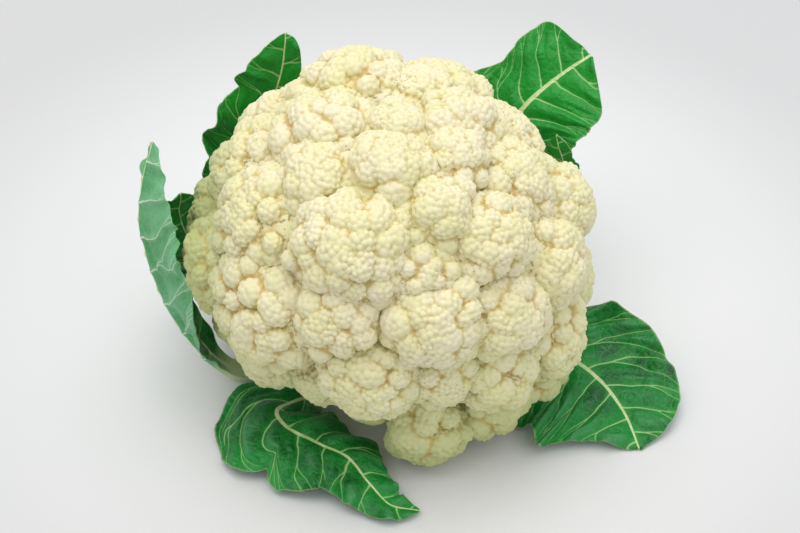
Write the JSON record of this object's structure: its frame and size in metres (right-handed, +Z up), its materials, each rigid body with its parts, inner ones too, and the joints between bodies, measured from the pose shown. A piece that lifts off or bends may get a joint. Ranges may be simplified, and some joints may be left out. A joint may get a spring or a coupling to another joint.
{
  "type": "cauliflower",
  "caption": "Whole white cauliflower head with knobbly florets packed round a short cut stalk, and a few trimmed green leaves left on around it",
  "frame": {"origin": "the middle of the stalk's flat cut face, which the head stands on", "axes": "+Z up through the crown of the head, -Y towards the front, +X to the right of the front"},
  "size_m": [0.2306, 0.1995, 0.1556],
  "materials": {
    "curd": "matte, granular, cream white with tan creases",
    "stalk": "pale green white, satin, with a dull cut face",
    "leaf": "deep green, satin and waxy, with pale veins; paler blue green on the outer face"
  },
  "bodies": {
    "root": {"floret_01": "curd", "floret_02": "curd", "floret_03": "curd", "floret_04": "curd", "floret_05": "curd", "floret_06": "curd", "floret_07": "curd", "floret_08": "curd", "floret_09": "curd", "floret_10": "curd", "floret_11": "curd", "floret_12": "curd", "floret_13": "curd", "floret_14": "curd", "floret_15": "curd", "floret_16": "curd", "floret_17": "curd", "floret_18": "curd", "floret_19": "curd", "floret_20": "curd", "floret_21": "curd", "floret_22": "curd", "floret_23": "curd", "floret_24": "curd", "floret_25": "curd", "floret_26": "curd", "floret_27": "curd", "floret_28": "curd", "floret_29": "curd", "floret_30": "curd", "floret_31": "curd", "floret_32": "curd", "floret_33": "curd", "floret_34": "curd", "floret_35": "curd", "floret_36": "curd", "floret_37": "curd", "floret_38": "curd", "floret_39": "curd", "floret_40": "curd", "floret_41": "curd", "floret_42": "curd", "floret_43": "curd", "floret_44": "curd", "floret_45": "curd", "floret_46": "curd", "floret_47": "curd", "floret_48": "curd", "floret_49": "curd", "floret_50": "curd", "leaf_back_left": "leaf", "leaf_back_right": "leaf", "leaf_back_right_small": "leaf", "leaf_front_left": "leaf", "leaf_left": "leaf", "leaf_left_small": "leaf", "leaf_right": "leaf", "stalk": "stalk"}
  },
  "joints": []
}
